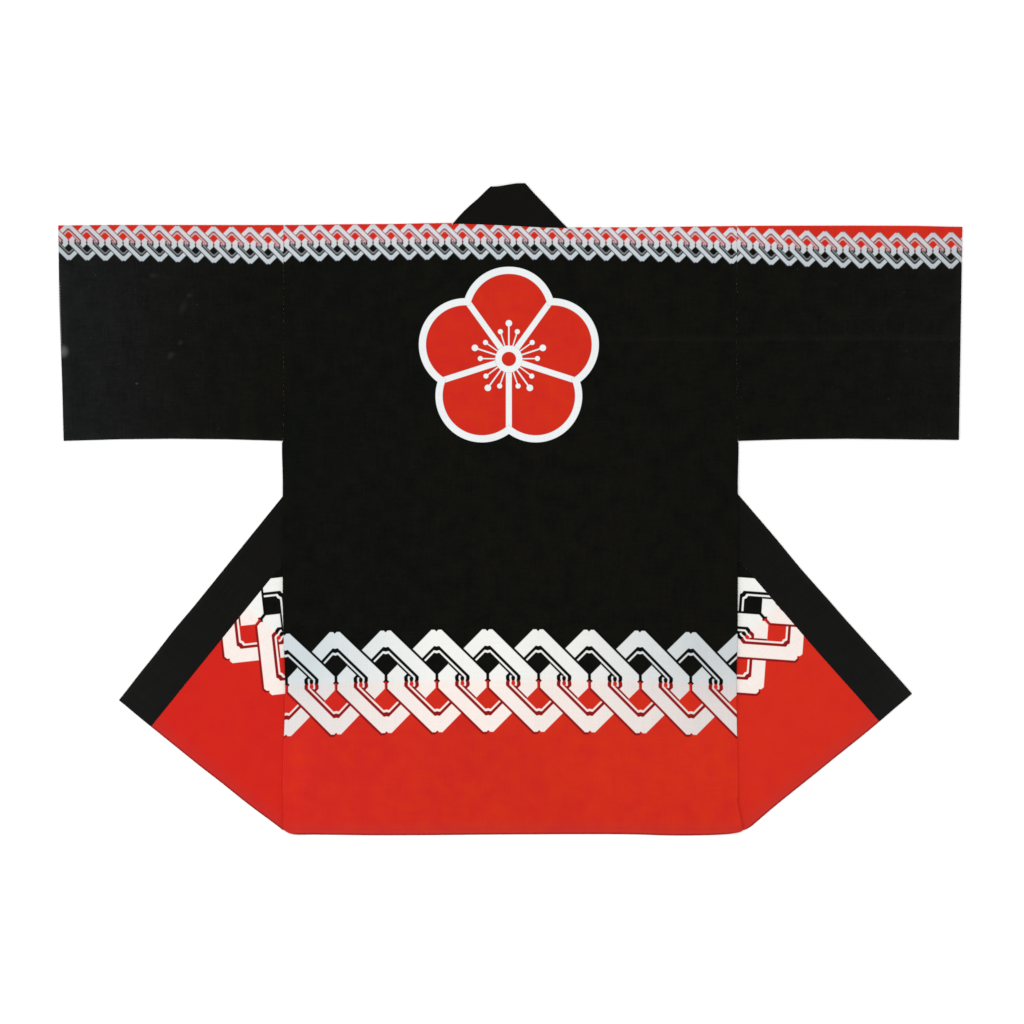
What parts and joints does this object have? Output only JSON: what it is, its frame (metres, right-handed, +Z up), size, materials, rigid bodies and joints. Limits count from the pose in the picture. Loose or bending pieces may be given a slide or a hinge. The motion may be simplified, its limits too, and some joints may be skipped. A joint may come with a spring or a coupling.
{
  "type": "happi coat",
  "caption": "Short straight cotton happi coat laid flat, back up, with wide sleeves, a neck band and fronts folded out, chain-printed at shoulder and hem.",
  "frame": {"origin": "middle of the coat's box, on the surface it lies on", "axes": "+X from the left cuff to the right cuff, +Y from the hem to the collar, +Z up from the surface through the back"},
  "size_m": [1.265, 0.9082, 0.0054],
  "materials": {
    "printed_cotton": "black plain-weave cotton, printed red, white and silver",
    "band_cotton": "plain black cotton, doubled"
  },
  "bodies": {
    "root": {"back_panel": "printed_cotton", "front_left": "printed_cotton", "front_right": "printed_cotton", "sleeve_left": "printed_cotton", "sleeve_right": "printed_cotton", "collar_band": "band_cotton"}
  },
  "joints": []
}
